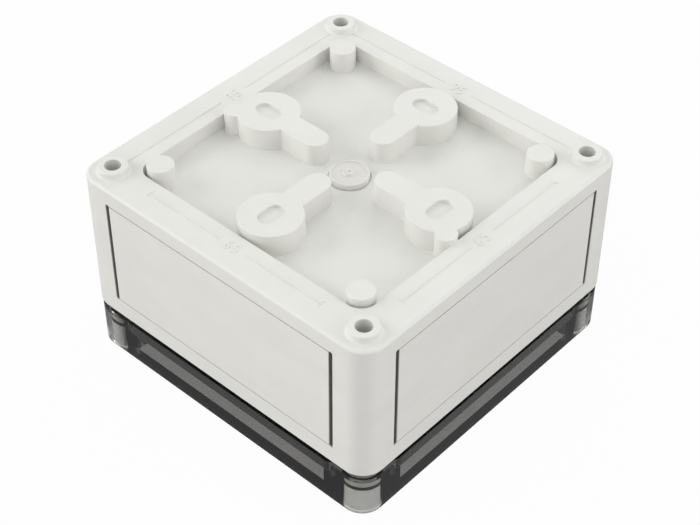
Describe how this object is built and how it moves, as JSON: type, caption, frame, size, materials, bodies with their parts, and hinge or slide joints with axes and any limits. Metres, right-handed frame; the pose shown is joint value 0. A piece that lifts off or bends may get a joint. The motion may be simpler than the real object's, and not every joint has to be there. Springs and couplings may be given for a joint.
{
  "type": "wall-mounting enclosure",
  "caption": "Square polycarbonate case: light grey base with its slotted wall-mounting back up, and a smoke-clear lid held by captive corner screws.",
  "frame": {"origin": "centre of the lid's outer face, where the case stands on its lid", "axes": "+Z from the lid to the back of the base, X and Y along the sides, front corner at +X -Y"},
  "size_m": [0.11, 0.11, 0.066],
  "materials": {
    "grey_plastic": "satin, finely eroded",
    "smoke_plastic": "clear, smoke tint",
    "screw_plastic": "satin",
    "seal_rubber": "matte",
    "ring_rubber": "matte"
  },
  "bodies": {
    "lid": {"lid": "smoke_plastic", "lid_seal": "seal_rubber"},
    "base": {"base_shell": "grey_plastic"},
    "screw_front": {"lid_screw_front": "screw_plastic", "screw_ring_front": "ring_rubber"},
    "screw_right": {"lid_screw_right": "screw_plastic", "screw_ring_right": "ring_rubber"},
    "screw_back": {"lid_screw_back": "screw_plastic", "screw_ring_back": "ring_rubber"},
    "screw_left": {"lid_screw_left": "screw_plastic", "screw_ring_left": "ring_rubber"}
  },
  "joints": [
    {"name": "base_lift", "type": "slide", "parent": "lid", "child": "base", "axis": [0, 0, 1], "range_m": [0, 0.04]},
    {"name": "screw_turn_front", "type": "hinge", "parent": "lid", "child": "screw_front", "pos_m": [0.0475, -0.0475, 0.009], "axis": [0, 0, 1], "range_deg": [0, 2160]},
    {"name": "screw_turn_right", "type": "hinge", "parent": "lid", "child": "screw_right", "pos_m": [0.0475, 0.0475, 0.009], "axis": [0, 0, 1], "range_deg": [0, 2160]},
    {"name": "screw_turn_back", "type": "hinge", "parent": "lid", "child": "screw_back", "pos_m": [-0.0475, 0.0475, 0.009], "axis": [0, 0, 1], "range_deg": [0, 2160]},
    {"name": "screw_turn_left", "type": "hinge", "parent": "lid", "child": "screw_left", "pos_m": [-0.0475, -0.0475, 0.009], "axis": [0, 0, 1], "range_deg": [0, 2160]}
  ]
}
